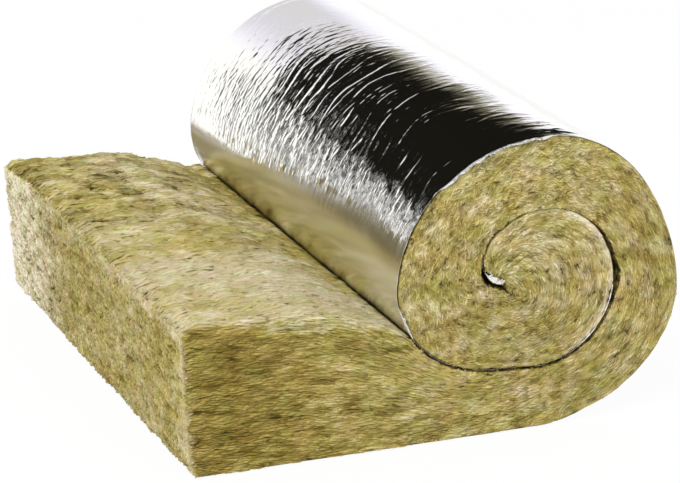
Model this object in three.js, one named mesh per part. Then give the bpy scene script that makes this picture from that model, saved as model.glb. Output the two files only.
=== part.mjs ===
// A stone-wool insulation blanket with an aluminium foil facing, partly rolled up.
// The blanket is one strip. It lies flat on its foil, bends up at the right, winds once round,
// tucks under itself and ends in a folded core, so the foil is outside on every turn.
// Millimetres, +Z up, roll axis along Y. The origin is at the middle of the underside.
import * as THREE from "three";

// The blanket
const blanketWidth = 400; // along the roll axis
const freeThickness = 100; // where nothing presses on the wool
const flatLength = 232; // on the floor, from the cut end to below the roll axis
const endLean = 7; // how far the cut end's top edge stands out past its foot
const endEdgeRound = 4; // rounding of the cut end's top edge

// The roll, with angles counted in turns along the foil from the point below the roll axis
const coreRadius = 57.5; // the folded inner turn, over its foil
const pressedThickness = 42; // the wool under the roll's weight
const lapThickness = 53; // the wool where the first turn is complete
const tuckStart = 0.73; // where the foil leaves its circle to tuck under
const tuckEnd = 0.98; // where it has passed inside the first turn
const noseStart = 1.66; // where the inner edge begins to hook in
const noseEnd = 1.772; // the inner edge of the blanket
const noseReach = 21; // how far the inner edge hooks towards the axis

// The flat run sinks towards the roll that lies on it
const sinkStart = 60; // from the cut end
const sinkPower = 1.6; // shape of the slope: 1 is straight, 2 a parabola
const contactTurn = 0.791; // where the roll's underside first meets the flat run

// The foil facing
const foilThickness = 0.3;
const foilOverhang = 1; // past the wool at each side edge
const bondClearance = 0.3; // between the foil and the wool it is bonded to
const turnClearance = 0.6; // between the foil and the wool of the turn outside it

// Places where the turns have sprung apart: middle and half length in turns, and depth
const sideGap = { middle: 1.21, half: 0.085, depth: 2.4 };
const noseGap = { middle: 1.75, half: 0.06, depth: 1.8 };

// The crease where the core's wool is folded on itself, from the inner edge of the foil
const creaseLength = 30;
const creaseFall = 4; // how much lower its blind end lies
const creaseWidth = 0.8;

const pathStep = 5; // spacing of the points along the outline
const noseStep = 1.5; // and where the inner edge hooks in

const rollRadius = coreRadius + pressedThickness;
const rollAxis = new THREE.Vector2(flatLength, rollRadius);

const smoothStep = (from, to, value) => THREE.MathUtils.smoothstep(value, from, to);

// Radius of the foil's outer face at a turn: a circle, the tuck, a slow spiral and the hooked nose.
function foilRadius(turn) {
  const tuck = pressedThickness * smoothStep(tuckStart, tuckEnd, turn);
  const spiralled = THREE.MathUtils.clamp((turn - 1) / (noseStart - 1), 0, 1);
  const spiral = (lapThickness - pressedThickness) * spiralled;
  const hook = noseReach * smoothStep(noseStart, noseEnd, turn) ** 2;
  return rollRadius - tuck - spiral - hook;
}

function foilPoint(turn) {
  const angle = (turn - 0.25) * 2 * Math.PI;
  const reach = foilRadius(turn);
  return new THREE.Vector2(Math.cos(angle), Math.sin(angle)).multiplyScalar(reach).add(rollAxis);
}

// The point at a distance to the left of the foil's run, which is the wool's side of it.
function beside(turn, distance) {
  const probe = 1e-4;
  const along = foilPoint(turn + probe).sub(foilPoint(turn - probe)).normalize();
  return foilPoint(turn).add(new THREE.Vector2(-along.y, along.x).multiplyScalar(distance));
}

// Turns from first to last, spaced by about a step along the foil.
function turnsBetween(first, last) {
  const turns = [first];
  while (turns.at(-1) < last) {
    const turn = turns.at(-1);
    const step = turn < noseStart ? pathStep : noseStep;
    turns.push(turn + step / (2 * Math.PI * Math.max(foilRadius(turn), coreRadius / 2)));
  }
  turns[turns.length - 1] = last;
  return turns;
}

// How far the wool outside the foil stands clear of it, measured square to the foil.
function clearanceOutside(turn) {
  const opened = [sideGap, noseGap].map(({ middle, half, depth }) => {
    const offset = Math.min(Math.abs(turn - middle) / half, 1);
    return depth * (1 - offset ** 2) ** 2;
  });
  return turnClearance + opened[0] + opened[1];
}

// The free top of the flat run, from its rounded edge at the cut end to the roll.
function topOfFlatRun(contact) {
  const points = [];
  for (let x = -endLean + endEdgeRound; x < contact.x - pathStep / 2; x += pathStep) {
    const sunk = Math.max(0, (x - sinkStart) / (contact.x - sinkStart)) ** sinkPower;
    points.push(new THREE.Vector2(x, THREE.MathUtils.lerp(freeThickness, contact.y, sunk)));
  }
  return points;
}

function roundedEndEdge() {
  const centre = new THREE.Vector2(-endLean + endEdgeRound, freeThickness - endEdgeRound);
  return [0.5, 0.625, 0.75, 0.875, 1].map((share) => {
    const angle = share * Math.PI;
    return new THREE.Vector2(Math.cos(angle), Math.sin(angle)).multiplyScalar(endEdgeRound).add(centre);
  });
}

// Both sides of the crease: out along its lower face, round its blind end and back.
function crease(mouth) {
  const blindEnd = mouth.clone().add(new THREE.Vector2(creaseLength, -creaseFall));
  const across = new THREE.Vector2(creaseFall, creaseLength).setLength(creaseWidth);
  return [mouth, blindEnd, blindEnd.clone().add(across)];
}

function woolOutline() {
  const skin = foilThickness + bondClearance;
  const foilSide = turnsBetween(0, noseEnd).map((turn) => beside(turn, skin));
  const innerTurns = turnsBetween(contactTurn, noseEnd).reverse();
  const openSide = innerTurns.map((turn) => beside(turn, -clearanceOutside(turn)));
  const top = topOfFlatRun(openSide.at(-1)).reverse();
  return [
    new THREE.Vector2(0, skin),
    ...foilSide,
    ...crease(openSide[0].clone()).reverse(),
    ...openSide.slice(1),
    ...top,
    ...roundedEndEdge().slice(1),
  ];
}

function foilOutline() {
  const turns = turnsBetween(0, noseEnd);
  const outside = [new THREE.Vector2(0, 0), ...turns.map((turn) => foilPoint(turn))];
  const inside = [new THREE.Vector2(0, foilThickness), ...turns.map((turn) => beside(turn, foilThickness))];
  return [...outside, ...inside.reverse()];
}

// An outline in the X-Z plane, extruded evenly to both sides of it.
function strip(name, outline, width, material) {
  const geometry = new THREE.ExtrudeGeometry(new THREE.Shape(outline), { depth: width, bevelEnabled: false });
  geometry.rotateX(Math.PI / 2);
  geometry.translate(0, width / 2, 0);
  const mesh = new THREE.Mesh(geometry, material);
  mesh.name = name;
  return mesh;
}

const stoneWool = new THREE.MeshStandardMaterial({ color: 0xb3a15a, roughness: 1, metalness: 0 });
const aluminiumFoil = new THREE.MeshStandardMaterial({ color: 0xdcdcdf, roughness: 0.25, metalness: 1 });

const insulationRoll = new THREE.Group();
insulationRoll.add(
  strip("wool_blanket", woolOutline(), blanketWidth, stoneWool),
  strip("foil_facing", foilOutline(), blanketWidth + 2 * foilOverhang, aluminiumFoil),
);
insulationRoll.position.x = (endLean - flatLength - rollRadius) / 2;

export default insulationRoll;
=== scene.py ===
# A foil-faced stone-wool blanket, partly rolled up. Metres throughout.
# Wool and foil are both shaped lying flat, as one strip, and then rolled along the CAD foil's own line.
import math
from functools import partial
import bpy
import numpy as np
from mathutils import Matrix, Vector, noise


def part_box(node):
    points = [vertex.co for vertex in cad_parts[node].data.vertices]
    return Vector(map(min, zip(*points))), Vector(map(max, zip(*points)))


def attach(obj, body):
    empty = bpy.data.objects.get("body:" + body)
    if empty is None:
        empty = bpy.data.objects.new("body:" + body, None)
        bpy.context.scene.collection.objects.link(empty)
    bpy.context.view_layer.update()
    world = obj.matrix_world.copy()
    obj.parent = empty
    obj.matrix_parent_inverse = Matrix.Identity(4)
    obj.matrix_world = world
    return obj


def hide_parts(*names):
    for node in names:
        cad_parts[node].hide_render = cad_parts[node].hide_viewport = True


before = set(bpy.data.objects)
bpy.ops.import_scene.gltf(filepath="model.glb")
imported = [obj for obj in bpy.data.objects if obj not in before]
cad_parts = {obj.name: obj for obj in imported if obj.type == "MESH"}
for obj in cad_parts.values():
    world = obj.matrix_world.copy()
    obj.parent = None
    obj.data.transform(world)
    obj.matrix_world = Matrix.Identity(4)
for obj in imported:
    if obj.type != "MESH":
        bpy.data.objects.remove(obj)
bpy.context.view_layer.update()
mm = 0.001
closeTo = 1e-6  # points this near a face count as on it

camera = {
    "place": (-0.71665, -1.8400, 0.7318),
    "tilt": 18.43,  # degrees below level
    "heading": 21.59,  # degrees from +Y towards +X
    "lens": 158.98,  # millimetres, and the sensor's width too
    "sensor": 36,
}

studio = {
    "skyStrength": 0.82,
    "floorSize": 60.0,
    "floorGrey": 0.86,
    "floorWhite": 0.93,  # how much of the floor's colour is plain white to the eye
    "keyPlace": (-1.6, -1.8, 3.0),
    "keySize": 2.2,
    "keyPower": 86.0,
    "domeRadius": 12.0,
    # where the dome goes dark and pale again: degrees round from +X, and degrees up in front
    "domeRight": (22, 30, 58, 66),
    "domeFront": (5, 7, 11, 15),
    "cardRadius": 0.30,  # the card arches over the roll
    "cardY": (-0.70, 0.95),
    "cardAngle": (24, 225),  # degrees above +X
    "lowAngle": 197,  # past it the card runs in along the floor, by floorStep a degree
    "floorStep": 7 * mm,
    # its black patch: places along Y, the angles where it starts and ends there, and the degrees
    # over which it breaks up beyond its end
    "blackY": [-0.60, -0.05, 0.13, 0.15, 0.209, 0.230, 0.25, 0.30, 0.37, 0.46, 0.528],
    "blackFirst": [60, 42, 37, 8, 8, 35, 36, 39, 45, 46, 50],
    "blackLast": [140, 150, 146, 147, 150, 160, 162, 154, 144, 166, 150],
    "breakUp": [40, 40, 18, 18, 20, 35, 42, 60, 65, 56, 30],
    "blackFade": (25, 0.045),  # degrees at the start, metres along Y
    "blackest": 0.993,
    "greyShare": 0.39,  # of the grey patch beyond it
    "hazeShare": 0.30,  # of the pale grey patch past its far end
    "veil": 0.055,  # of the faint grey before its first edge
    # the golden patch low down, a painted reflection of the wool: places along Y, where it starts there,
    # and its colours at two of them
    "goldenFirst": ([0.24, 0.30, 0.38, 0.42, 0.46, 0.49, 0.53, 0.62],
                    [167, 173, 183, 178, 171, 174, 191, 200]),
    "goldenEnds": (0.22, 0.40),
    "golden": [(0.17, 0.146, 0.085), (0.26, 0.214, 0.105)],
    # the card's glow, by how bright it is: dark parts lean to khaki and pale ones to lilac
    "glows": [0.0, 0.22, 0.60, 0.72, 0.92, 1.0],
    "tones": [(0, 0, 0), (0.24, 0.222, 0.16), (0.61, 0.60, 0.575),
              (0.70, 0.685, 0.775), (0.91, 0.905, 0.985), (1, 1, 1)],
    "slant": 0.25,
    "streaks": (70 * mm, 9 * mm, 1),  # around and along; they draw the patches' edges out
    "breaks": (60 * mm, 16 * mm, 1),
    "dashes": (50 * mm, 7 * mm, 1),
    "cardGlow": 1.14,
}


def toLinear(hexColour):
    channels = [int(hexColour[i:i + 2], 16) / 255 for i in (0, 2, 4)]
    return tuple(c / 12.92 if c <= 0.04045 else ((c + 0.055) / 1.055) ** 2.4 for c in channels) + (1.0,)


def addNode(tree, kind, settings=None):
    # the node's own options come first, then values for its inputs, and what is linked to them:
    # a socket, or a node for its first output
    node = tree.nodes.new(kind)
    for name, value in (settings or {}).items():
        if isinstance(value, (bpy.types.Node, bpy.types.NodeSocket)):
            tree.links.new(getattr(value, "outputs", [value])[0], node.inputs[name])
        elif isinstance(name, str) and hasattr(node, name):
            setattr(node, name, value)
        else:
            node.inputs[name].default_value = value
    return node


def addMaterial(pieces, name, shade):
    # shade adds the nodes and gives back the shader
    material = bpy.data.materials.new(name)
    material.use_nodes = True
    material.node_tree.nodes.clear()
    add = partial(addNode, material.node_tree)
    add("ShaderNodeOutputMaterial", {"Surface": shade(add)})
    for piece in pieces:
        piece.data.materials.clear()
        piece.data.materials.append(material)


def readAll(items, name, size=1, kind=np.float32):
    values = np.empty(len(items) * size, kind)
    items.foreach_get(name, values)
    return values.reshape(-1, size) if size > 1 else values


def meshPlaces(piece):
    return readAll(piece.data.vertices, "co", 3).astype(float)


def setPlaces(piece, places):
    piece.data.vertices.foreach_set("co", places.astype(np.float32).ravel())
    piece.data.update()


def selectOnly(mesh, items, wanted):
    for others in (mesh.vertices, mesh.edges, mesh.polygons):
        others.foreach_set("select", np.zeros(len(others), bool))
    items.foreach_set("select", wanted)


def addBlock(name, length, width, height):
    # a plain block that starts at the strip's end, ready to be cut up
    bpy.ops.mesh.primitive_cube_add(size=1, location=(length / 2, 0, height / 2))
    block = bpy.context.object
    block.name = name
    block.scale = (length, width, height)
    bpy.ops.object.transform_apply(location=True, rotation=False, scale=True)
    bpy.context.tool_settings.mesh_select_mode = (False, True, False)
    return block


def cutEdges(piece, axis, parts, only=None):
    # splits the edges along an axis, or only some of them; an operator makes at most 100 cuts
    for count in parts:
        places = meshPlaces(piece)
        ends = readAll(piece.data.edges, "vertices", 2, np.int32)
        first, second = places[ends[:, 0]], places[ends[:, 1]]
        wanted = np.abs((second - first)[:, axis]) > closeTo
        if only:
            wanted &= only(first, second)
        selectOnly(piece.data, piece.data.edges, wanted)
        bpy.ops.object.mode_set(mode="EDIT")
        bpy.ops.mesh.subdivide(number_cuts=count - 1, smoothness=0)
        bpy.ops.object.mode_set(mode="OBJECT")


def store(piece, **tables):
    for name, values in tables.items():
        kind, field = ("FLOAT", "value") if values.ndim == 1 else ("FLOAT_VECTOR", "vector")
        attribute = piece.data.attributes.new(name, kind, "POINT")
        attribute.data.foreach_set(field, values.astype(np.float32).ravel())


def patches(places, size, octaves=3, shift=0.0):
    # fractal noise, about -1 to 1, with its own grain size along each direction
    scaled = places / np.array(size) + shift
    return np.array([noise.fractal(Vector(p), 1.0, 2.0, octaves) for p in scaled])


def smooth(low, high, value):
    share = np.clip((value - low) / (high - low), 0, 1)
    return share * share * (3 - 2 * share)


def between(first, full, last, end, value):
    # rises from first to full and falls from last to end
    return smooth(first, full, value) * smooth(end, last, value)


def readTable(value, places, columns):
    return np.stack([np.interp(value, places, column) for column in columns], axis=1)


# The line that the strip is rolled along, from the CAD nodes. A turn is counted from below the axis.
woolLow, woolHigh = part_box("wool_blanket")
foilLow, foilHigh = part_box("foil_facing")
width = woolHigh.y - woolLow.y
thickness = 100 * mm
foilEndX = foilLow.x
endLean = foilLow.x - woolLow.x
rollRadius = foilHigh.z / 2
rollAxis = np.array([foilHigh.x - rollRadius, rollRadius])
flatLength = rollAxis[0] - foilEndX


def sideCorners(node):
    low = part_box(node)[0]
    corners = {
        (round(v.co.x, 6), round(v.co.z, 6))
        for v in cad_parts[node].data.vertices
        if v.co.y < low.y + 0.1 * mm
    }
    return np.array(sorted(corners))


def foilMidline():
    # from below the axis, always on to the nearest corner left; the cut end's own corners come last
    corners = sideCorners("foil_facing")
    here = np.array([rollAxis[0], 0.0])
    line = []
    while len(corners):
        here = corners[np.linalg.norm(corners - here, axis=1).argmin()]
        pair = np.linalg.norm(corners - here, axis=1) < 0.5 * mm
        line.append(corners[pair].mean(axis=0))
        corners = corners[~pair]
    return np.array(line[:-1])


def turnAndReach(places):
    fromAxis = places - rollAxis
    turn = (np.arctan2(fromAxis[:, 1], fromAxis[:, 0]) + math.pi / 2) / (2 * math.pi) % 1
    return turn, np.linalg.norm(fromAxis, axis=1)


midline = foilMidline()
foldedTurn, lineRadius = turnAndReach(midline)
lineTurn = np.unwrap(foldedTurn, period=1)
lineTurn -= round(lineTurn[0])
lineLength = np.concatenate([[0], np.cumsum(np.linalg.norm(np.diff(midline, axis=0), axis=1))])
noseTurn = lineTurn[-1]
stripLength = flatLength + lineLength[-1]
print("foil line: turns", round(noseTurn, 3), "strip", round(stripLength, 4), "m")

# where the roll comes down on the flat run, and the flat run's own top up to there
woolCorners = sideCorners("wool_blanket")
cornerTurn, cornerReach = turnAndReach(woolCorners)
outside = cornerReach - np.interp(cornerTurn, lineTurn, lineRadius)
touching = (cornerTurn > 0.6) & (cornerTurn < 0.99) & (outside > 0.3 * mm) & (outside < 1.5 * mm)
contactTurn = cornerTurn[touching].min()
contact = woolCorners[touching][cornerTurn[touching].argmin()]
contactLength = contact[0] - foilEndX
onTopLine = (woolCorners[:, 0] <= contact[0] + closeTo) & (woolCorners[:, 1] >= contact[1] - closeTo)
topLine = woolCorners[onTopLine & (outside > 0.3 * mm)]
print("contact", contact.round(4), "turn", round(contactTurn, 3), "top points", len(topLine))


def turnAt(along):
    # none on the flat run
    return np.where(along > flatLength, np.interp(along - flatLength, lineLength, lineTurn), 0)


# the foil's inner edge curls up a little tighter than the CAD's, in millimetres
innerCurl = {
    "turns": [1.63, 1.70, 1.72, 1.74, 1.76, 1.772],
    "x": [0.0, 3.3, 1.8, 0.4, -0.3, 1.0],
    "z": [0.0, 0.5, 1.0, 1.0, 3.5, 8.0],
}
# and its outer turn isn't quite round
outOfRound = (
    [0.0, 0.03, 0.06, 0.10, 0.14, 0.18, 0.22, 0.26, 0.30, 0.34, 0.38, 0.42, 0.50, 0.57],
    [0.0, -0.3, -1.2, 0.8, 2.2, 3.2, 2.2, -2.0, -4.8, -5.2, -3.6, -2.6, -1.2, 0.0],
)
fineTurn = np.linspace(0, noseTurn, 3000)
fineAngle = (fineTurn - 0.25) * 2 * math.pi
fineReach = np.interp(fineTurn, lineTurn, lineRadius)
fineReach += np.interp(fineTurn, *outOfRound) * mm
fineLine = rollAxis + np.stack([np.cos(fineAngle), np.sin(fineAngle)], axis=1) * fineReach[:, None]
fineLine += readTable(fineTurn, innerCurl["turns"], (innerCurl["x"], innerCurl["z"])) * mm
fineRun = np.gradient(fineLine, axis=0)
fineOut = np.stack([fineRun[:, 1], -fineRun[:, 0]], axis=1)
fineOut /= np.linalg.norm(fineRun, axis=1)[:, None]


def onLine(turn, outwards=0.0):
    # the place on the line at a turn, or a little outside it
    place = readTable(turn, fineTurn, fineLine.T)
    out = readTable(turn, fineTurn, fineOut.T)
    return place + out * np.broadcast_to(outwards, len(place))[:, None]


# the foil's edge at each turn, in millimetres: how far it stands past the wool and folds over it
foilEdge = {
    "turns": [0.0, 0.46, 0.49, 0.50, 0.61, 0.63, 0.69, 0.755, 0.77, 0.79,
              0.80, 0.84, 1.06, 1.12, 1.22, 1.27, 1.70, 1.72, 1.77],
    "out": [-1.4, -1.4, 0.4, 2.0, 1.8, -0.4, -0.7, -0.6, 2.2, 2.0,
            -0.6, -0.8, -0.8, 0.1, 0.1, -2.2, -3.0, 1.6, 1.8],
    "lip": [0.2, 0.2, 0.8, 2.4, 2.8, 0.1, 0.1, 0.1, 1.7, 1.5,
            0.1, 0.1, 0.1, 1.2, 1.2, 0.3, 0.3, 4.2, 4.6],
    "clear": (2.6 * mm, 1.2 * mm),  # how far strands keep from it, beside a fold and elsewhere
}

wool = {
    "stations": (21, 20),  # along the strip, as factors
    "stationShares": (0.0, 0.19, 0.63, 1.0),  # of them: to the roll, to closeTurn, to the strip's end
    "closeTurn": 0.95,
    "rows": (8, 8),  # through its thickness
    "courses": (16, 15),  # across its width, where it is open to view
    "skin": 0.15 * mm,  # from the foil's middle to the wool
    # millimetres to the turn outside; here and below, a table has its turns or places first
    "clearance": ([0.79, 0.86, 1.05, 1.15, 1.30, 1.38, 1.60, 1.68, 1.77],
                  [0.6, 0.35, 0.35, 0.6, 0.6, 0.15, 0.1, 0.7, 0.8]),
    "sprung": [(1.24, 0.055, 1.9 * mm), (1.73, 0.035, 1.6 * mm)],  # gaps: turn, half length, depth
    "creaseTurn": 1.752,  # where the core's crease leaves the foil
    "creaseLips": (2.0 * mm, 0.8 * mm),
    "crease": (9 * mm, -7 * mm),  # from there to its blind end
    "creaseBow": (4 * mm, -1 * mm),
    "creaseWidth": 0.4 * mm,
    "softened": 16 * mm,  # how far along the strip the deeper layers even out
    "corner": 0.5 * mm,  # this near the cut end, strands stand upright
    "flakes": (1.3, 1.3, 1.6),  # grains
    "clumps": (22 * mm, 22 * mm, 12 * mm),
    "pits": (6 * mm, 10 * mm, 5 * mm),
    "knots": (5 * mm, 9 * mm, 5 * mm),
    "flakeHigh": 0.8 * mm,
    "clumpHigh": (1.8, 1.0),  # millimetres: on top, and elsewhere
    "pitDepth": (1.9, 1.5, 1.1, 0.5),  # on the cut end, on top, on the sides, and more in a knot
    "sag": 5.5 * mm,  # along the far edge
    "sagAll": 1.5 * mm,  # at the cut end
    "sagReach": 80 * mm,
    "endOut": (4.5 * mm, 3.6 * mm),  # of the cut end: at its far edge and at its near one
    "footOut": 2 * mm,  # more at the near foot
    "topEdgeRound": 7 * mm,
    "endEdgeRound": (2.5 * mm, 3 * mm),  # its upright edges, and its top one
    # millimetres, where the turns' edges are rounded
    "grooves": ([0.0, 0.47, 0.52, 0.76, 0.82, 1.0, 1.15, 1.25, 1.35, 1.5, 1.56, 1.66, 1.70, 1.77, 1.85],
                [1.4, 1.4, 1.4, 1.4, 0.6, 0.6, 1.2, 1.8, 0.8, 0.3, 0.6, 0.9, 1.4, 1.6, 0.5]),
    # painted shade where the wool lies against the next turn, as millimetres of depth
    "shade": ([0.47, 0.50, 0.64, 0.85, 1.1, 1.16, 1.30, 1.36, 1.40, 1.5, 1.56, 1.69, 1.71, 1.8, 1.95, 2.77],
              [0.0, 5.0, 6.0, 7.0, 7.0, 10.0, 10.0, 4.0, 0.0, 0.0, 3.0, 3.5, 9.0, 9.0, 2.0, 2.0]),
    # and how wide it is along the roll's foot, both in millimetres
    "pinch": ([0, 25, 60, 200, 400], [1.1, 1.6, 2.0, 1.9, 1.5]),
    "pinchShade": 7,
    # painted dusk over broad parts, in the same measure: round the first turn, and across the cut end;
    # below zero it is painted light
    "dusk": ([0.05, 0.2, 0.35, 0.5], [0, 0.3, 0.3, 0]),
    "endDusk": ([0, 0.02, 0.06, 0.7, 0.9, 1], [-0.7, -0.7, 0.4, 0.6, -1.0, -1.4]),
    # how knotted the fibres are, and how far their tones differ, round the roll
    "knotted": ([0.02, 0.1, 0.35, 0.45, 0.6, 0.85, 1.0, 1.2],
                [0.28, 0.14, 0.16, 0.5, 0.55, 0.5, 0.3, 0.14]),
    "contrast": ([0, 0.1, 0.3, 0.45, 0.6, 0.9, 1.2], [1.0, 1.4, 1.4, 1.3, 1.75, 1.5, 1.55]),
    "grainTilt": 0.08,  # the layers dip a little towards the roll
    "layeredGrain": (19.0, 18.0, 5.5),  # millimetres: along, across and through the layers
    "rolledGrain": (13.0, 8.0, 4.2),
    "knottedGrain": (5.5, 13.0, 5.5),  # where the layers can't be told apart
}


def respace(along):
    # stations stand closer where the strip is rolled tighter
    closeLength = flatLength + np.interp(wool["closeTurn"], lineTurn, lineLength)
    places = (0.0, flatLength, closeLength, stripLength)
    return np.interp(along / stripLength, wool["stationShares"], places)


def onSideFace(across):
    return np.abs(across) > width / 2 - closeTo


def makeFlatWool():
    piece = addBlock("wool_blanket_fibrous", stripLength, width, thickness)
    cutEdges(piece, 0, wool["stations"])
    cutEdges(piece, 2, wool["rows"])
    flat = meshPlaces(piece)
    flat[:, 0] = respace(flat[:, 0])
    setPlaces(piece, flat)

    def openToView(first, second):
        atEnd = np.maximum(first[:, 0], second[:, 0]) < closeTo
        onTop = np.minimum(first[:, 2], second[:, 2]) > thickness - closeTo
        return atEnd | (onTop & (first[:, 0] < contactLength + 3 * mm))

    cutEdges(piece, 1, wool["courses"], openToView)
    return piece


def openSide(along):
    # the wool's face that has no foil: the flat run's top, then under the next turn, then the crease
    topX = foilEndX + along - endLean * (1 - along / contactLength)
    top = np.stack([topX, np.interp(topX, topLine[:, 0], topLine[:, 1])], axis=1)
    underShare = (along - contactLength) / (flatLength - contactLength)
    underTurn = contactTurn + (1 - contactTurn) * underShare
    nextTurn = np.where(along < flatLength, underTurn, turnAt(along) + 1)
    clearance = np.interp(nextTurn, *wool["clearance"]) * mm
    for middle, half, depth in wool["sprung"]:
        clearance += depth * (1 - np.clip(np.abs(nextTurn - middle) / half, 0, 1) ** 2) ** 2
    under = onLine(np.minimum(nextTurn, wool["creaseTurn"]), clearance)

    # the crease: along its lower face to the blind end, and back to the foil's inner edge
    lowerLip, upperLip = wool["creaseLips"]
    mouth = onLine(np.array([wool["creaseTurn"]]), lowerLip)[0]
    backMouth = onLine(np.array([noseTurn]), upperLip)[0]
    share = np.clip(nextTurn - wool["creaseTurn"], 0, 1)
    reach = np.clip(np.where(share < 0.5, share * 2.4, (1 - share) * 2), 0, 1)[:, None]
    blindEnd = reach ** 2 * (mouth + wool["crease"])
    bowed = 2 * reach * (1 - reach) * (mouth + wool["creaseBow"]) + blindEnd
    lower = (1 - reach) ** 2 * mouth + bowed
    back = (1 - reach) ** 2 * backMouth + bowed + [0, wool["creaseWidth"]]
    crease = np.where((share < 0.5)[:, None], lower, back)
    inCrease = (nextTurn > wool["creaseTurn"])[:, None]
    return np.where((along < contactLength)[:, None], top, np.where(inCrease, crease, under))


# deeper layers follow the open side less sharply
softSpacing = 1 * mm
softAlong = np.arange(-60 * mm, stripLength + 60 * mm, softSpacing)
softReach = np.exp(-0.5 * (np.arange(-50, 51) * softSpacing / wool["softened"]) ** 2)
softReach /= softReach.sum()
sharpOpen = openSide(np.clip(softAlong, 0, stripLength))
softOpen = [np.convolve(column, softReach, "same") for column in sharpOpen.T]


def rollUp(flat):
    along, across, depth = flat.T
    inside = np.clip(along, 0, stripLength)
    onFloor = (along < flatLength)[:, None]
    floor = np.stack([foilEndX + inside, np.full(len(along), wool["skin"] + 0.15 * mm)], axis=1)
    foilSide = np.where(onFloor, floor, onLine(turnAt(along), -wool["skin"]))
    share = (depth / thickness)[:, None]
    sharp = openSide(inside)
    soft = readTable(inside, softAlong, softOpen)
    fold = smooth(contactLength - 40 * mm, contactLength, along)
    fold *= 1 - smooth(flatLength, flatLength + 60 * mm, along)
    keen = 1 - fold[:, None] * (1 - np.clip(share, 0, 1) ** 3)
    place = foilSide + (soft + (sharp - soft) * keen - foilSide) * share
    place[:, 0] += np.minimum(along, 0) * (depth > 0)
    return np.stack([place[:, 0], across, place[:, 1]], axis=1)


def grainPlaces(flat):
    # strip places counted in grains, so that one pattern runs finer through the roll
    along, across, depth = flat.T
    steps = np.linspace(0, stripLength, 400)
    rolled = smooth(0.8 * contactLength, flatLength + 40 * mm, steps)
    layered = np.array(wool["layeredGrain"]) * mm
    tight = np.array(wool["rolledGrain"]) * mm
    counts = np.diff(steps) / (layered[0] + (tight[0] - layered[0]) * rolled)[1:]
    grainAlong = np.interp(along, steps, np.concatenate([[0], np.cumsum(counts)]))
    share = np.interp(along, steps, rolled)
    size = layered + (tight - layered) * share[:, None]
    # how much of its depth a layer keeps once it is rolled
    kept = np.linalg.norm(rollUp(flat + [0, 0, 0.5 * mm]) - rollUp(flat), axis=1) / (0.5 * mm)
    level = (depth + wool["grainTilt"] * along * (1 - share)) * np.clip(kept, 0.3, 1.2)
    return np.stack([grainAlong, across / size[:, 1], level / size[:, 2]], axis=1)


def fillet(gap, radius):
    # where a point at this gap from a square edge goes when the edge is rounded: inset, new gap
    bend = np.radians(45) * np.clip(1 - gap / radius, 0, 1)
    rounded = gap < radius
    inset = np.where(rounded, radius * (1 - np.cos(bend)), 0)
    newGap = np.where(rounded, radius * (1 - np.sin(bend)), gap)
    return inset, newGap


def grooveRadius(turn):
    return np.interp(turn, *wool["grooves"]) * mm


def layerPacking(flat):
    # how far the wool is pressed together here, from 0 to 1
    foilPlaces = flat * [1, 1, 0]
    gap = rollUp(foilPlaces + [0, 0, thickness]) - rollUp(foilPlaces)
    return np.clip(np.linalg.norm(gap, axis=1) / thickness, 0.1, 1)


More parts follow.
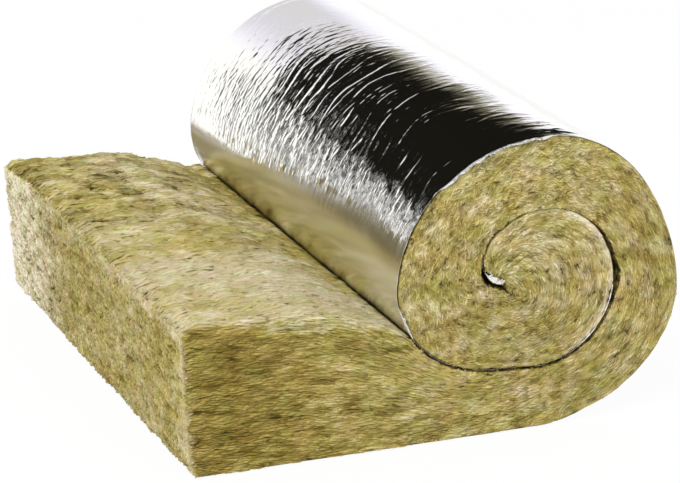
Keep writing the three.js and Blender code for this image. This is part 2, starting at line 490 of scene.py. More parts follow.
def sculptFlatWool(flat, grain, knot):
    along, across, depth = flat.T
    rolled = rollUp(flat)
    onSide = onSideFace(across)
    onTop = depth > thickness - closeTo
    onEnd = along < closeTo
    side = np.sign(across)
    turn = turnAt(along)
    flatShare = 1 - smooth(contactLength - 14 * mm, contactLength, along)

    # fluffed relief: flakes along the layers, knots, and pits between them
    flakes = patches(grain, wool["flakes"], 3)
    clumps = patches(rolled, wool["clumps"], 2, 31.7)
    pits = patches(rolled, wool["pits"], 2, 77.1)
    knots = patches(rolled, wool["knots"], 2, 12.4)
    fluff = flakes * (1 - knot) + knots * knot
    endPit, topPit, sidePit, knotPit = wool["pitDepth"]
    pitDepth = np.where(onEnd, endPit, np.where(onTop, topPit, sidePit + knotPit * knot)) * mm
    clumpHigh = np.where(onTop, *wool["clumpHigh"]) * mm
    relief = wool["flakeHigh"] * fluff + clumpHigh * clumps - pitDepth * smooth(0.15, 0.6, pits)

    # rounded edges
    openTurn = np.where(along > contactLength, turn + 1, 0)
    uneven = patches(flat * [1, 0, 0], (13 * mm, 1, 1), 3, 15.1)
    topRound = wool["topEdgeRound"] * (1 + 0.9 * uneven)
    topRound *= 0.3 + 0.7 * smooth(4 * mm, 40 * mm, along)
    openRound = np.where(along < contactLength, np.maximum(topRound, 1 * mm), grooveRadius(openTurn))
    foilRound = grooveRadius(turn)
    packing = layerPacking(flat)
    insetOpen, gapOpen = fillet((thickness - depth) * packing, openRound)
    insetFoil, gapFoil = fillet(depth * packing, foilRound)
    upper = depth > thickness / 2
    newDepth = np.where(upper, thickness - gapOpen / packing, gapFoil / packing)
    inset = np.where(upper, insetOpen, insetFoil)
    insetTop, gapTop = fillet(width / 2 - np.abs(across), openRound)

    out = flat.copy()
    out[:, 1] = np.where(onSide, side * (width / 2 - inset + relief), side * (width / 2 - gapTop))
    out[:, 2] = np.where(onSide, newDepth, depth)
    topMove = (0.9 * relief - insetTop) * flatShare
    out[:, 2] = np.where(onTop & ~onSide, depth + topMove, out[:, 2])
    endInset, _ = fillet(width / 2 - np.abs(across), wool["endEdgeRound"][0])
    endTop, _ = fillet(thickness - depth, wool["endEdgeRound"][1])
    out[:, 0] = np.where(onEnd, endInset + endTop - relief, along)

    # the flat run sags a little towards the far edge, and its cut end leans out there
    fromFar = width / 2 - across
    sag = wool["sag"] * smooth(wool["sagReach"], 0, fromFar)
    sag = sag + wool["sagAll"] * smooth(0, wool["sagReach"], along)
    out[:, 2] *= 1 - flatShare * sag / thickness
    nearShare = smooth(0.3 * width, width, fromFar)
    farOut, nearOut = wool["endOut"]
    endOut = farOut + (nearOut + wool["footOut"] * (1 - depth / thickness) - farOut) * nearShare
    endOut *= 1 - 0.6 * nearShare * smooth(14 * mm, 0, depth)
    out[:, 0] -= endOut * smooth(22 * mm, 0, along)

    # painted shade, in millimetres of relief, where a turn meets the next and along the roll's foot
    shut = (onSide & (along > contactLength)) * np.interp(openTurn, *wool["shade"])
    shut = shut * smooth(1.6 * mm, 0.2 * mm, (thickness - depth) * packing)
    held = onSide * np.interp(turn, *wool["shade"])
    held = held * smooth(1.2 * mm, 0.2 * mm, depth * packing)
    pinch = np.interp((across + width / 2) / mm, *wool["pinch"]) * mm
    toContact = contactLength - along
    pinched = onTop * smooth(pinch, 0.4 * pinch, np.abs(toContact)) * wool["pinchShade"]

    # and painted dusk over broader parts: below zero it is paler, painted light, as on the top beside the
    # roll's foot
    farShare = (across + width / 2) / width
    dusk = onSide * smooth(110 * mm, 0, along) * smooth(2 * mm, 14 * mm, thickness - depth) * 1.5
    dusk = dusk + onSide * np.interp(turn, *wool["dusk"])
    dusk = dusk + onEnd * np.interp(farShare, *wool["endDusk"])
    topDusk = 0.5 * smooth(0.3, 0.6, farShare) - smooth(45 * mm, 5 * mm, toContact)
    dusk = dusk + onTop * flatShare * topDusk
    # the core's rim near the foil is painted paler: less painted shade there
    rim = between(1.02, 1.1, 1.40, 1.50, turn) * smooth(9 * mm, 3 * mm, depth)
    rim = rim + 1.4 * smooth(1.54, 1.60, turn) * smooth(6 * mm, 2 * mm, depth)
    shadow = np.maximum(np.maximum(shut, held), pinched) + dusk - 1.2 * onSide * rim
    # gives the places, and the relief with the painted shade taken off it
    return out, relief - shadow * mm


woolPiece = makeFlatWool()
flatWool = meshPlaces(woolPiece)
print("flat wool", len(flatWool), "points", len(woolPiece.data.polygons), "faces")
woolAlong, woolAcross, woolDepth = flatWool.T
woolTurn = turnAt(woolAlong)
woolGrain = grainPlaces(flatWool)
woolKnot = 0.03 + 0.25 * smooth(contactLength, flatLength, woolAlong)
woolKnot = np.where(woolTurn > 0.02, np.interp(woolTurn, *wool["knotted"]), woolKnot)
onTopFace = (woolDepth > thickness - closeTo) & (np.abs(woolAcross) < width / 2 - closeTo)
woolKnot = np.where(onTopFace & (woolAlong < contactLength), 0.25, woolKnot)
endKnot = 0.65 - 0.5 * smooth(-width / 2 + 14 * mm, -width / 2 + 4 * mm, woolAcross)
woolKnot = np.where(woolAlong < closeTo, endKnot, woolKnot)
sculpted, woolReliefAndShade = sculptFlatWool(flatWool, woolGrain, woolKnot)


def roomForStrands(flat):
    # how far a strand may reach before it would stand out past an edge
    along, across, depth = flat.T
    toEdge = np.minimum(depth, thickness - depth) * layerPacking(flat)
    toContact = np.abs(contactLength - along)
    endRoom = np.minimum(toEdge, width / 2 - np.abs(across))
    sideRoom = np.where(along < wool["corner"], 6 * mm, along)
    flatRoom = np.where(onSideFace(across), sideRoom, np.minimum(along, toContact))
    return np.where(along < closeTo, endRoom, np.where(along < contactLength, flatRoom, toEdge))


def binderAndLightShare(flat, turn):
    # how much of the binder's yellow is left in the fibres, partly painted light and shade: little at the
    # cut end and on top, painted paler, and much on the near side towards the cut end, painted darker
    along, across, depth = flat.T
    farShare = (across + width / 2) / width
    broad = patches(flat, (60 * mm, 60 * mm, 60 * mm), 2, 8.2)
    cut = 0.42 - 0.8 * smooth(0.6, 0.95, farShare) + 0.2 * broad
    toCorner = np.minimum(across + width / 2, thickness - depth)
    atCorner = smooth(9 * mm, 3 * mm, toCorner)
    cut = cut * (1 - atCorner) + 0.12 * atCorner
    top = 0.02 + 0.36 * smooth(0.2, 0.5, farShare) + 0.35 * broad
    top = top + 0.15 * smooth(40 * mm, 10 * mm, contactLength - along)
    # on the near side a pale hem hangs from the top edge, and another runs down the corner
    flatSide = 0.92 - 0.5 * smooth(10 * mm, 190 * mm, along)
    hanging = patches(flat, (16 * mm, 1, 7 * mm), 3, 21.4) * 9 * mm
    hem = (2 + 10 * between(20 * mm, 60 * mm, 80 * mm, 130 * mm, along)) * mm
    flatSide = flatSide * (1 - 0.8 * smooth(hem, hem - 5 * mm, thickness - depth + 0.5 * hanging))
    flatSide = flatSide * (1 - 0.8 * smooth(6 * mm, 1 * mm, along + 0.3 * hanging))
    roll = 0.42 - 0.06 * smooth(1.0, 1.3, turn)
    side = flatSide + (roll - flatSide) * smooth(contactLength, flatLength + 80 * mm, along)
    rim = between(1.02, 1.1, 1.42, 1.55, turn) * smooth(9 * mm, 2 * mm, depth)
    side = side * (1 - 0.9 * rim)
    share = np.where(onSideFace(across), side, np.where(along < closeTo, cut, top))
    return np.clip(share + 0.12 * patches(flat, (30 * mm, 30 * mm, 20 * mm), 2, 3.3), -0.4, 1)


def contrastShare(flat, turn):
    # the wool is soft and even on top near the roll's near end, and most ragged on the far side
    along, across, _ = flat.T
    farShare = (across + width / 2) / width
    top = 0.6 + 0.85 * smooth(0.25, 0.65, farShare)
    end = 0.6 + 0.45 * smooth(0.01, 0.05, farShare) + 1.6 * smooth(0.6, 0.95, farShare)
    side = 1.0 + 0.2 * smooth(20 * mm, 60 * mm, along) - 0.2 * smooth(120 * mm, 180 * mm, along)
    rolled = np.interp(turn, *wool["contrast"])
    side = np.where(along > flatLength, rolled, side)
    return np.where(onSideFace(across), side, np.where(along < closeTo, end, top))


setPlaces(woolPiece, rollUp(sculpted))
woolLay = rollUp(flatWool + [1 * mm, 0, 0]) - rollUp(flatWool - [1 * mm, 0, 0])
woolLay[woolAlong < wool["corner"]] = (0, 0, 0.2 * mm)
woolLay[:, 2] -= wool["grainTilt"] * np.maximum(woolLay[:, 0], 0) * (woolAlong < contactLength)
# the relief attribute carries painted shade as well as the wool's relief, in millimetres
store(
    woolPiece, stripPlace=flatWool, grain=woolGrain, lay=woolLay,
    relief=woolReliefAndShade / mm, knot=woolKnot, room=roomForStrands(flatWool),
    # the binder share carries painted light and shade as well as the binder's yellow
    contrast=contrastShare(flatWool, woolTurn), binder=binderAndLightShare(flatWool, woolTurn),
)
bpy.ops.object.shade_smooth()
print("wool rolled up")


def clearOfLip(flat):
    # where the foil folds over the wool's edge, no strand grows through it
    folded = np.interp(turnAt(flat[:, 0]), foilEdge["turns"], foilEdge["lip"]) > 1
    return flat[:, 2] > np.where(folded, *foilEdge["clear"])


def nearSide(flat):
    return flat[:, 1] < -width / 2 + closeTo


def topSide(flat):
    return flat[:, 2] > thickness - closeTo


strands = {
    "near_flat": {
        "part": lambda flat: nearSide(flat) & (flat[:, 0] < flatLength),
        "perSquareMetre": 210000, "length": (4.5 * mm, 13 * mm), "radius": (0.7 * mm, 1.6 * mm),
        "curl": 0.4 * mm, "proud": 0.2 * mm, "seed": 3,
    },
    "near_roll": {
        "part": lambda flat: nearSide(flat) & (flat[:, 0] > flatLength - 4 * mm) & clearOfLip(flat),
        "perSquareMetre": 310000, "length": (3 * mm, 8.5 * mm), "radius": (0.4 * mm, 1.0 * mm),
        "curl": 1.0 * mm, "proud": 0.25 * mm, "seed": 13,
    },
    "far_end": {
        "part": lambda flat: (flat[:, 1] > width / 2 - closeTo) & clearOfLip(flat),
        "perSquareMetre": 120000, "length": (5 * mm, 12 * mm), "radius": (0.5 * mm, 1.1 * mm),
        "curl": 1.5 * mm, "proud": 0.25 * mm, "seed": 4,
    },
    "top": {
        "part": lambda flat: topSide(flat) & (flat[:, 0] < contactLength - 3.5 * mm),
        "perSquareMetre": 95000, "length": (7 * mm, 22 * mm), "radius": (0.8 * mm, 1.9 * mm),
        "curl": 1.6 * mm, "proud": 0.2 * mm, "seed": 5,
    },
    "cut_end": {
        "part": lambda flat: flat[:, 0] < closeTo,
        "perSquareMetre": 230000, "length": (3 * mm, 6.5 * mm), "radius": (0.6 * mm, 1.35 * mm),
        "curl": 1.0 * mm, "proud": 0.25 * mm, "seed": 6,
    },
}


def strandNodes(name, look):
    # strands lie on the faces along the layers; both tips are sunk in the wool
    tree = bpy.data.node_groups.new(name, "GeometryNodeTree")
    for way in ("INPUT", "OUTPUT"):
        tree.interface.new_socket("Geometry", in_out=way, socket_type="NodeSocketGeometry")
    add = partial(addNode, tree)
    faces = add("NodeGroupInput")
    seeded = add("GeometryNodeDistributePointsOnFaces", {
        "Density": look["perSquareMetre"], "Seed": look["seed"], "Mesh": faces,
    })
    # what is drawn by lot for each strand, and what the wool's own points say
    lots = {
        "shade": (0.0, 1.0), "side": (-math.pi / 2, math.pi / 2),
        "length": look["length"], "radius": look["radius"],
    }
    drawn = {}
    for step, (lot, (least, most)) in enumerate(lots.items(), 1):
        settings = {2: least, 3: most, "Seed": look["seed"] + 20 * step}
        drawn[lot] = add("FunctionNodeRandomValue", settings).outputs[1]
    kinds = {"lay": "FLOAT_VECTOR", "knot": "FLOAT", "room": "FLOAT", "lift": "FLOAT_VECTOR"}
    read = {}
    for name, kind in kinds.items():
        settings = {"data_type": kind, "Name": name}
        read[name] = add("GeometryNodeInputNamedAttribute", settings)
    normal = seeded.outputs["Normal"]
    points = seeded.outputs["Points"]
    for name, kind, value in (("lift", "FLOAT_VECTOR", normal), ("shade", "FLOAT", drawn["shade"])):
        points = add("GeometryNodeStoreNamedAttribute", {
            "data_type": kind, "Name": name, "Geometry": points, "Value": value,
        })

    # a strand lies along the layers, or turned away from them where the wool is knotted
    laid = add("FunctionNodeAxesToRotation", {
        "primary_axis": "Z", "secondary_axis": "X", "Primary Axis": normal,
        "Secondary Axis": read["lay"],
    })
    yaw = add("ShaderNodeMath", {"operation": "MULTIPLY", 0: drawn["side"], 1: read["knot"]})
    turned = add("FunctionNodeAxisAngleToRotation", {"Axis": (0, 0, 1), "Angle": yaw})
    facing = add("FunctionNodeRotateRotation", {
        "rotation_space": "LOCAL", "Rotation": laid, "Rotate By": turned,
    })
    allowed = add("ShaderNodeMath", {"operation": "MULTIPLY_ADD", 1: 1.7, 2: 0.8 * mm, 0: read["room"]})
    length = add("ShaderNodeMath", {"operation": "MINIMUM", 0: drawn["length"], 1: allowed})
    line = add("GeometryNodeCurvePrimitiveLine", {"Start": (-0.5, 0, 0), "End": (0.5, 0, 0)})
    knots = add("GeometryNodeResampleCurve", {"Count": 3, "Curve": line})
    placed = add("GeometryNodeInstanceOnPoints", {
        "Points": points, "Instance": knots, "Rotation": facing, "Scale": length,
    })
    real = add("GeometryNodeRealizeInstances", {"Geometry": placed})

    # the bow over the surface, and the curl in it
    share = add("GeometryNodeSplineParameter")
    rest = add("ShaderNodeMath", {"operation": "SUBTRACT", 0: 1.0, 1: share})
    arch = add("ShaderNodeMath", {"operation": "MULTIPLY", 0: share, 1: rest})
    rise = add("ShaderNodeMath", {
        "operation": "MULTIPLY_ADD", 1: 8 * look["proud"], 2: -look["proud"], 0: arch,
    })
    bow = add("ShaderNodeVectorMath", {"operation": "SCALE", 0: read["lift"], "Scale": rise})
    bends = add("ShaderNodeTexNoise", {"Scale": 1 / (7 * mm), "Detail": 0.0})
    middle = add("ShaderNodeVectorMath", {
        "operation": "SUBTRACT", 1: (0.5, 0.5, 0.5), 0: bends.outputs["Color"],
    })
    moved = add("ShaderNodeVectorMath", {
        "operation": "MULTIPLY_ADD", 1: (look["curl"],) * 3, 0: middle, 2: bow,
    })
    bent = add("GeometryNodeSetPosition", {"Geometry": real, "Offset": moved})
    bent = add("GeometryNodeSetCurveRadius", {"Radius": 1.0, "Curve": bent})
    taper = add("ShaderNodeMapRange", {"From Max": 0.22, "To Min": 0.15, "To Max": 1.0, "Value": arch})
    rim = add("GeometryNodeCurvePrimitiveCircle", {"Resolution": 3, "Radius": 1.0})
    thick = add("ShaderNodeMath", {"operation": "MULTIPLY", 0: taper, 1: drawn["radius"]})
    tube = add("GeometryNodeCurveToMesh", {
        "Fill Caps": True, "Curve": bent, "Profile Curve": rim, "Scale": thick,
    })
    add("NodeGroupOutput", {0: tube})
    return tree


def growStrands(name, look):
    # on a copy of the wool, cut down to the faces they grow on
    bpy.ops.object.select_all(action="DESELECT")
    woolPiece.select_set(True)
    bpy.context.view_layer.objects.active = woolPiece
    bpy.ops.object.duplicate()
    piece = bpy.context.object
    piece.name = "wool_strands_" + name
    mesh = piece.data
    wanted = look["part"](readAll(mesh.attributes["stripPlace"].data, "vector", 3).astype(float))
    corners = readAll(mesh.loops, "vertex_index", kind=np.int32)
    starts = readAll(mesh.polygons, "loop_start", kind=np.int32)
    bpy.context.tool_settings.mesh_select_mode = (False, False, True)
    selectOnly(mesh, mesh.polygons, ~np.logical_and.reduceat(wanted[corners], starts))
    bpy.ops.object.mode_set(mode="EDIT")
    bpy.ops.mesh.delete(type="FACE")
    bpy.ops.object.mode_set(mode="OBJECT")
    scatter = piece.modifiers.new("strands", "NODES")
    scatter.node_group = strandNodes("strands " + name, look)
    bpy.ops.object.modifier_apply(modifier="strands")
    laid = meshPlaces(piece)
    laid[:, 2] = np.maximum(laid[:, 2], 0.1 * mm)  # none goes through the floor
    setPlaces(piece, laid)
    bpy.ops.object.shade_smooth()
    print(piece.name, len(piece.data.polygons), "faces")
    return piece


strandPieces = [growStrands(name, look) for name, look in strands.items()]


foil = {
    "stations": (21, 20),
    "stationShares": [0.0, 0.04, 0.20, 0.72, 0.88, 1.0],
    "stationTurns": [0.0, 0.33, 0.80, 1.60, 1.77],
    "courses": (18, 16),  # across, where the foil is open to view
    "edgeCourses": (6,),
    "edgeWidth": 5 * mm,
    "gauge": 0.12 * mm,
    "viewTurn": 0.80,  # the foil is open to view up to here
    "proud": 0.4 * mm,  # of its folds over the wool
    # creases by their size around and along the roll, and how high they stand
    "ridges": (90 * mm, 12 * mm, 1),
    "hairs": (50 * mm, 6.5 * mm, 1),
    "hatch": (34 * mm, 4.5 * mm, 1),
    "crush": (8 * mm, 4.2 * mm, 1),
    "crumples": ((9 * mm, 5 * mm, 1), (16 * mm, 9 * mm, 1)),
    "waves": (60 * mm, 50 * mm, 1),
    "fineCreases": (6.66667 * mm, 3.22581 * mm, 1),  # drawn this coarse so that they show
    "ridgeHigh": 0.35 * mm,
    "hairShare": 0.62,
    "hatchHigh": 0.13 * mm,
    "crushHigh": 0.26 * mm,
    "crumpleHigh": 0.75 * mm,
    "wavesHigh": 0.5 * mm,
    "crushTurns": (0.636, 0.664),  # where the crushed band starts
    # and where the calm foil below it starts, by the distance from the near end
    "calm": ([20 * mm, 60 * mm, 300 * mm], [0.694, 0.683, 0.728]),
    "roughness": (0.06, 0.22),  # bright, and soft below the band
    "tones": ("f4f3ee", "b8b093"),  # bright, and darkened by painted shade reflected near the roll's foot
}


def makeFlatFoil():
    piece = addBlock("foil_facing_crinkled", stripLength, width, foil["gauge"])
    cutEdges(piece, 0, foil["stations"])
    cutEdges(piece, 1, (3,))
    flat = meshPlaces(piece)
    stationPlaces = flatLength + np.interp(foil["stationTurns"], lineTurn, lineLength)
    stationPlaces[-1] = stripLength
    flat[:, 0] = np.interp(flat[:, 0] / stripLength, foil["stationShares"], [0, *stationPlaces])
    toEdge = np.where(onSideFace(flat[:, 1]), 0, foil["edgeWidth"])
    flat[:, 1] = np.sign(flat[:, 1]) * (width / 2 - toEdge)
    setPlaces(piece, flat)
    viewLength = flatLength + np.interp(foil["viewTurn"], lineTurn, lineLength)

    def atBand(first, second):
        return np.abs(first[:, 1] + second[:, 1]) / 2 > width / 2 - foil["edgeWidth"]

    def inView(first, second):
        seen = (first[:, 0] > flatLength - 10 * mm) & (first[:, 0] < viewLength)
        atMiddle = np.abs(first[:, 1] + second[:, 1]) / 2 < 1 * mm
        return seen & (first[:, 2] < closeTo) & atMiddle

    def cutOnce(first, second):
        gap = np.abs(first[:, 1] - second[:, 1])
        return (first[:, 2] < closeTo) & (gap > 10 * mm) & (gap < 30 * mm)

    cutEdges(piece, 1, foil["edgeCourses"], atBand)
    cutEdges(piece, 1, foil["courses"][:1], inView)
    cutEdges(piece, 1, foil["courses"][1:], cutOnce)
    return piece


def creased(places, size, octaves, shift):
    # sharp ridges along the lines where the noise passes zero
    return np.clip(1 - np.abs(patches(places, size, octaves, shift)) * 8, 0, 1) ** 1.5


def crinkle(flat):
    along, across, _ = flat.T
    turn = turnAt(along)
    fromNear = across + width / 2
    sway = patches(flat, (70 * mm, 60 * mm, 1), 2, 3.9) * 14 * mm
    swayed = np.stack([along, across + 0.15 * along + sway, 0 * along], axis=1)
    ridges = creased(swayed, foil["ridges"], 2, 5.3)
    ridges += foil["hairShare"] * creased(swayed, foil["hairs"], 1, 71.4)
    hatched = patches(swayed, foil["hatch"], 2, 27.7)
    crushed = patches(swayed, foil["crush"], 1, 18.9)
    small, large = foil["crumples"]
    crumpled = patches(flat, small, 1, 61.3) + 0.9 * patches(flat, large, 1, 13.6)
    waves = patches(flat, foil["waves"], 1, 44.2)

    # how much of each there is: most in the crushed band, little near the top, least below the band
    calmTurn = np.interp(fromNear, *foil["calm"])
    band = smooth(*foil["crushTurns"], turn) * (1 - smooth(calmTurn - 0.016, calmTurn + 0.006, turn))
    band *= 1 - 0.6 * smooth(180 * mm, 320 * mm, fromNear)
    crush = 0.15 + 1.2 * band
    nearTop = 1 - 0.6 * smooth(0.57, 0.52, turn)
    fine = foil["crushHigh"] * np.minimum(crush, 1) * crushed + foil["crumpleHigh"] * band * crumpled
    hatchLeft = 1 - 0.93 * smooth(calmTurn - 0.08, calmTurn - 0.035, turn)
    fine += foil["hatchHigh"] * hatched * nearTop * hatchLeft
    ridges *= nearTop * (1 - 0.9 * smooth(calmTurn - 0.075, calmTurn - 0.03, turn))
    atFar = smooth(200 * mm, 330 * mm, fromNear) * (1 - 0.6 * smooth(0.665, 0.695, turn))
    high = foil["proud"] + (foil["ridgeHigh"] * ridges + fine) * (1 - 0.7 * atFar)
    soft = between(calmTurn - 0.008, calmTurn + 0.012, foil["viewTurn"], foil["viewTurn"] + 0.04, turn)
    # painted shade in the calm foil's reflection below the band, strongest towards the near end
    dusty = smooth(260 * mm, 50 * mm, fromNear) * smooth(calmTurn + 0.037, calmTurn + 0.012, turn)
    return high + foil["wavesHigh"] * waves, crush, soft, soft * dusty


def rollFoil(flat, high):
    along, across, depth = flat.T
    turn = turnAt(along)
    fromEdge = width / 2 - np.abs(across)
    band = np.clip(1 - fromEdge / foil["edgeWidth"], 0, 1)
    outwards = np.clip(band / 0.6, 0, 1)
    folded = np.clip((band - 0.5) / 0.5, 0, 1)
    ragged = patches(flat * [1, 0, 0], (9 * mm, 1, 1), 3, 6.1)
    out = (np.interp(turn, foilEdge["turns"], foilEdge["out"]) + 0.5 * ragged) * mm
    lip = np.interp(turn, foilEdge["turns"], foilEdge["lip"]) * (1 + 0.6 * ragged) * mm
    high = high * (1 - 0.6 * smooth(12 * mm, 4 * mm, fromEdge)) * smooth(0, 0.06, turn)
    rise = np.where(turn < foil["viewTurn"], high, 0) - depth - lip * folded
    floor = np.stack([foilEndX + along, 0.15 * mm + depth], axis=1)
    place = np.where((along < flatLength)[:, None], floor, onLine(turn, rise))
    edgeReach = width / 2 - foil["edgeWidth"] + (foil["edgeWidth"] + out) * outwards
    spread = np.where(band > 0, np.sign(across) * edgeReach, across)
    return np.stack([place[:, 0], spread, place[:, 1]], axis=1)


foilPiece = makeFlatFoil()
flatFoil = meshPlaces(foilPiece)
foilHeight, foilCrush, foilSoft, foilReflectedShade = crinkle(flatFoil)
setPlaces(foilPiece, rollFoil(flatFoil, foilHeight))
store(foilPiece, stripPlace=flatFoil, crush=foilCrush, soft=foilSoft, dusty=foilReflectedShade)
bpy.ops.object.shade_smooth()
print("foil rolled up", len(foilPiece.data.polygons), "faces")


# from the painted shade of the gaps between strands to the fluffed tips, by how much binder is left, which
# also carries painted light and shade
woolTones = {
    "bare": ["1e190e", "7c7052", "b3a781", "c6bb97", "d3c9ab", "e0d8c1", "f1ecdd"],
    "bound": ["1f1908", "655724", "978846", "afa15f", "bfb16e", "cec184", "e0d5a6"],
    "soaked": ["201805", "5f4f16", "8a782f", "a08e45", "b2a056", "c3b169", "d9c98c"],
}


def woolRamp(add, tones, places, value):
    ramp = add("ShaderNodeValToRGB", {0: value})
    while len(ramp.color_ramp.elements) < len(places):
        ramp.color_ramp.elements.new(0.5)
    for element, place, tone in zip(ramp.color_ramp.elements, places, tones):
        element.position = place
        element.color = toLinear(tone)
    return ramp


def woolTone(add, places, value):
    # binder, carrying painted light and shade too, varies from flake to flake, and the wool leans to green
    # or to pink in patches
    binder = add("ShaderNodeAttribute", {"attribute_name": "binder"}).outputs["Fac"]
    place = add("ShaderNodeTexCoord").outputs["Object"]
    flakes, blotches = (
        add("ShaderNodeTexNoise", {
            "Scale": 1 / size, "Detail": detail, "Roughness": 0.6, "Vector": place,
        })
        for size, detail in ((11 * mm, 3.0), (17 * mm, 4.0))
    )
    varied = add("ShaderNodeMath", {"operation": "MULTIPLY_ADD", 1: 1.3, 0: flakes, 2: binder})
    tone = woolRamp(add, woolTones["bare"], places, value)
    for name, least in (("bound", 0.65), ("soaked", 1.15)):
        share = add("ShaderNodeMapRange", {"From Min": least, "From Max": least + 0.5, "Value": varied})
        richer = woolRamp(add, woolTones[name], places, value)
        tone = add("ShaderNodeMix", {"data_type": "RGBA", 0: share, 6: tone, 7: richer}).outputs[2]
    lean = woolRamp(add, ("e6eebc", "ffeee6"), (0.38, 0.62), blotches)
    return add("ShaderNodeMix", {
        "data_type": "RGBA", "blend_type": "MULTIPLY", 0: 0.5, 6: tone, 7: lean,
    }).outputs[2]


def woolFlecks(add, roughness):
    # layered flakes along the strip, or knots where the layers can't be told apart
    place = add("ShaderNodeTexCoord").outputs["Object"]
    grain, knot = (
        add("ShaderNodeAttribute", {"attribute_name": name}).outputs[kind]
        for name, kind in (("grain", "Vector"), ("knot", "Fac"))
    )
    look = {"Scale": 1.0, "Detail": 4.0, "Roughness": roughness, "Distortion": 0.5}
    layered = add("ShaderNodeTexNoise", {**look, "Vector": grain})
    perKnot = tuple(1 / (size * mm) for size in wool["knottedGrain"])
    counted = add("ShaderNodeMapping", {"Scale": perKnot, "Vector": place})
    knotted = add("ShaderNodeTexNoise", {**look, "Vector": counted})
    return add("ShaderNodeMix", {0: knot, 2: layered, 3: knotted})


def hollowShade(add):
    # painted shade: darker where the wool lies deep, and where the relief carries painted shade
    relief = add("ShaderNodeAttribute", {"attribute_name": "relief"}).outputs["Fac"]
    return add("ShaderNodeMapRange", {
        "From Min": -4.5, "From Max": 1.4, "To Min": -0.38, "To Max": 0.08, "Value": relief,
    })


def stoneWool(add):
    # spun rock and binder: matt khaki fibres in layers, with painted shade between the flakes
    fleck = woolFlecks(add, 0.6)
    level = add("ShaderNodeMath", {"operation": "ADD", 0: fleck, 1: hollowShade(add)})
    tone = woolTone(add, (0.06, 0.22, 0.40, 0.50, 0.58, 0.68, 0.86), level)
    bump = add("ShaderNodeBump", {"Strength": 1.0, "Distance": 1.4 * mm, "Height": fleck})
    return add("ShaderNodeBsdfPrincipled", {
        "Roughness": 0.9, "Specular IOR Level": 0.2, "Base Color": tone, "Normal": bump,
    })


def stoneWoolStrand(add):
    # loose strands of the same wool, drawn thicker than the real ones so that they show
    shade, contrast = (
        add("ShaderNodeAttribute", {"attribute_name": name}).outputs["Fac"]
        for name in ("shade", "contrast")
    )
    own = add("ShaderNodeMath", {"operation": "MULTIPLY_ADD", 1: 0.18, 0: shade, 2: hollowShade(add)})
    level = add("ShaderNodeMath", {
        "operation": "MULTIPLY_ADD", 1: 0.9, 0: woolFlecks(add, 0.5), 2: own,
    })
    # contrast draws the tones together or apart, about the middle one
    middleTone = 0.51
    apart = add("ShaderNodeMath", {"operation": "SUBTRACT", 1: middleTone, 0: level})
    kept = add("ShaderNodeMath", {"operation": "MULTIPLY_ADD", 2: middleTone, 0: apart, 1: contrast})
    tone = woolTone(add, (0.05, 0.16, 0.29, 0.44, 0.55, 0.66, 0.82), kept)
    return add("ShaderNodeBsdfPrincipled", {
        "Roughness": 0.8, "Specular IOR Level": 0.3, "Base Color": tone,
    })


def aluminiumFoil(add):
    # bright rolled foil glued to the wool: a mirror broken up by fine creases, darkened near the roll's
    # foot by painted shade in its reflection
    read = {
        name: add("ShaderNodeAttribute", {"attribute_name": name}).outputs
        for name in ("stripPlace", "crush", "soft", "dusty")
    }
    perCrease = tuple(1 / size for size in foil["fineCreases"])
    fine = add("ShaderNodeMapping", {"Scale": perCrease, "Vector": read["stripPlace"]["Vector"]})
    creases = add("ShaderNodeTexNoise", {"Scale": 1.0, "Detail": 1.0, "Roughness": 0.4, "Vector": fine})
    depth = add("ShaderNodeMath", {"operation": "MULTIPLY", 0: creases, 1: read["crush"]["Fac"]})
    bump = add("ShaderNodeBump", {"Strength": 1.0, "Distance": 0.6 * mm, "Height": depth})
    bright, dull = foil["roughness"]
    dulled = add("ShaderNodeMapRange", {"To Min": bright, "To Max": dull, "Value": read["soft"]["Fac"]})
    bright, dusty = (toLinear(tone) for tone in foil["tones"])
    tint = add("ShaderNodeMix", {"data_type": "RGBA", 6: bright, 7: dusty, 0: read["dusty"]["Fac"]})
    return add("ShaderNodeBsdfPrincipled", {
        "Metallic": 1.0, "Base Color": tint.outputs[2], "Normal": bump, "Roughness": dulled,
    })


addMaterial([woolPiece], "stone wool", stoneWool)
addMaterial([foilPiece], "aluminium foil", aluminiumFoil)
addMaterial(strandPieces, "stone wool strand", stoneWoolStrand)
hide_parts("wool_blanket")
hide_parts("foil_facing")
for piece in [woolPiece, foilPiece] + strandPieces:
    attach(piece, "root")
print("materials on")


def seenDirectly(add):
    # 1 for the camera and in mirrors, 0 for the light that falls on things
    path = add("ShaderNodeLightPath")
    return add("ShaderNodeMath", {
        "operation": "MAXIMUM", 0: path.outputs["Is Camera Ray"], 1: path.outputs["Is Glossy Ray"],
    })


def floorPaint(add):
    # the camera, and mirrors, see a share of plain white over the lit grey
    grey = (studio["floorGrey"],) * 3 + (1,)
    paint = add("ShaderNodeBsdfDiffuse", {"Color": grey})
    part = add("ShaderNodeMath", {
        "operation": "MULTIPLY", 1: studio["floorWhite"], 0: seenDirectly(add),
    })
    white = add("ShaderNodeEmission", {"Color": (1, 1, 1, 1), "Strength": 1.0})
    return add("ShaderNodeMixShader", {0: part, 1: paint, 2: white})


def makeFloor():
    bpy.ops.mesh.primitive_plane_add(size=studio["floorSize"], location=(0, 0, -0.2 * mm))
    floor = bpy.context.object
    floor.name = "studio_floor"
    addMaterial([floor], "white floor paint", floorPaint)


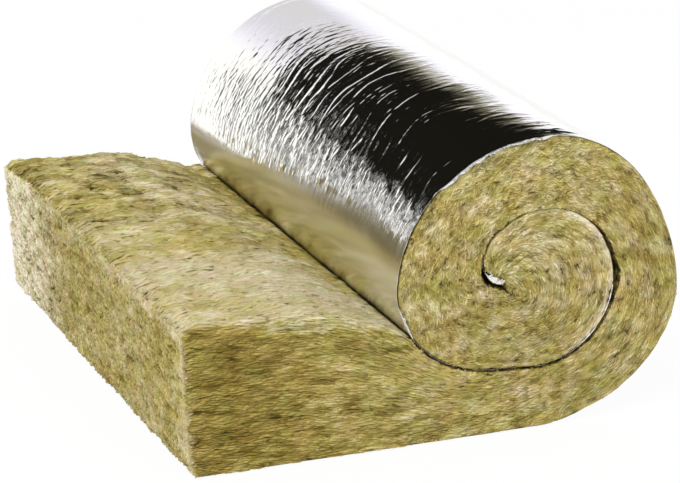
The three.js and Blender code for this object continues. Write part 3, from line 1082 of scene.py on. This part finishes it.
def makeLight():
    world = bpy.data.worlds.new("white studio")
    bpy.context.scene.world = world
    world.use_nodes = True
    world.node_tree.nodes.clear()
    add = partial(addNode, world.node_tree)
    strength = add("ShaderNodeMapRange", {
        "To Min": studio["skyStrength"], "To Max": 1.0, "Value": seenDirectly(add),
    })
    sky = add("ShaderNodeBackground", {"Color": (1, 1, 1, 1), "Strength": strength})
    add("ShaderNodeOutputWorld", {"Surface": sky})

    bpy.ops.object.light_add(type="AREA", location=studio["keyPlace"])
    key = bpy.context.object
    key.name = "key_light"
    key.data.size = studio["keySize"]
    key.data.energy = studio["keyPower"]
    key.rotation_euler = (-Vector(studio["keyPlace"])).to_track_quat("-Z", "Y").to_euler()
    key.visible_glossy = False


def glowTones(glow):
    return readTable(glow, studio["glows"], zip(*studio["tones"]))


def glowingPaint(add):
    tone = add("ShaderNodeAttribute", {"attribute_name": "tone"}).outputs["Vector"]
    return add("ShaderNodeEmission", {"Strength": studio["cardGlow"], "Color": tone})


def showInMirrors(card, tones):
    # a painted reflection, glowing in these tones; only mirrors see it
    store(card, tone=tones)
    addMaterial([card], card.name + " paint", glowingPaint)
    card.visible_camera = False
    card.visible_diffuse = False
    card.visible_shadow = False


def makeDome():
    # a painted reflection of the room, white with dark parts away from where the camera's own reflections
    # point
    bpy.ops.mesh.primitive_uv_sphere_add(segments=180, ring_count=120, radius=studio["domeRadius"])
    dome = bpy.context.object
    dome.name = "room_dome"
    ways = meshPlaces(dome) / studio["domeRadius"]
    around = np.degrees(np.arctan2(ways[:, 2], ways[:, 0]))
    rise = np.degrees(np.arcsin(np.clip(ways[:, 2], -1, 1)))
    streaks = 10 * patches(ways, (0.9, 0.9, 0.08), 3, 5.5)
    right = between(*studio["domeRight"], around + streaks) * smooth(0.74, 0.66, ways[:, 1])
    front = between(*studio["domeFront"], rise + streaks / 5) * smooth(-0.80, -0.88, ways[:, 1])
    showInMirrors(dome, glowTones(1 - studio["blackest"] * np.maximum(right, front)))


def makeCard():
    # a graded card bent over the roll's axis, black to white, with a golden patch low down: painted
    # reflections, glowing for mirrors only
    bpy.ops.mesh.primitive_plane_add(size=1, location=(0.5, 0.5, 0))
    bpy.ops.object.transform_apply(location=True)
    card = bpy.context.object
    card.name = "graded_card"
    bpy.context.tool_settings.mesh_select_mode = (False, True, False)
    cutEdges(card, 0, (100,))
    cutEdges(card, 1, (25, 28))
    share = meshPlaces(card)
    angle = np.interp(share[:, 0], (0, 1), studio["cardAngle"])
    y = np.interp(share[:, 1], (0, 1), studio["cardY"])
    bend = np.radians(np.minimum(angle, studio["lowAngle"]))
    x = rollAxis[0] + studio["cardRadius"] * np.cos(bend)
    x += np.maximum(angle - studio["lowAngle"], 0) * studio["floorStep"]
    z = rollAxis[1] + studio["cardRadius"] * np.sin(bend)
    setPlaces(card, np.stack([x, y, z], axis=1))

    # the black patch
    around = np.radians(angle) * studio["cardRadius"]
    slanted = np.stack([around, y + studio["slant"] * around, 0 * y], axis=1)
    streaks = patches(slanted, studio["streaks"], 3, 2.6)
    dashes = patches(slanted, studio["dashes"], 2, 4.1)
    breaks = patches(slanted, studio["breaks"], 2, 9.7)
    first, last, breakUp = (
        np.interp(y, studio["blackY"], studio[name]) for name in ("blackFirst", "blackLast", "breakUp")
    )
    first = first + 11 * dashes
    last = last + 10 * streaks
    atFirst, atEnd = studio["blackFade"]
    black = smooth(-0.06, 0.06, 0.2 + (last - angle) / breakUp + 0.9 * breaks)
    black *= 1 - (1 - np.clip((angle - first) / atFirst, 0, 1)) ** 2
    fromEnds = np.minimum(studio["blackY"][-1] - y, y - studio["blackY"][0])
    black *= smooth(-atEnd / 2, atEnd / 2, fromEnds + 0.02 * streaks) * studio["blackest"]

    # the pale greys beyond it, past its far end and before its first edge
    grey = smooth(0, 10, angle - last + 10) * smooth(0.54, 0.42, y) * np.clip(1 + 3.4 * streaks, 0, 1.6)
    haze = between(0.50, 0.60, 0.80, 0.90, y) * between(40, 66, 100, 136, angle)
    veil = between(24, 34, 80, 110, angle)
    pale = (1 - studio["greyShare"] * grey) * (1 - studio["hazeShare"] * haze)
    pale *= 1 - studio["veil"] * veil
    tone = glowTones((1 - black) * pale)

    # the golden patch, a painted reflection of the wool
    first = np.interp(y, *studio["goldenFirst"])
    patch = smooth(first, first + 7, angle) * between(0.02, 0.14, 0.74, 0.84, y)
    filled = 0.4 * smooth(0.34, 0.26, y) + 0.4 * smooth(first + 6, first + 14, angle)
    patch = (patch * smooth(-0.25, 0.15, breaks + filled))[:, None]
    golden = readTable(y, studio["goldenEnds"], zip(*studio["golden"]))
    showInMirrors(card, tone + (golden - tone) * patch)


def makeCamera():
    bpy.ops.object.camera_add(location=camera["place"])
    eye = bpy.context.object
    eye.rotation_euler = (math.radians(90 - camera["tilt"]), 0, -math.radians(camera["heading"]))
    eye.data.lens = camera["lens"]
    eye.data.sensor_width = camera["sensor"]
    eye.data.clip_end = 100
    bpy.context.scene.camera = eye


makeFloor()
makeLight()
makeDome()
makeCard()
makeCamera()
bpy.context.scene.view_settings.view_transform = "Standard"
print("studio ready")
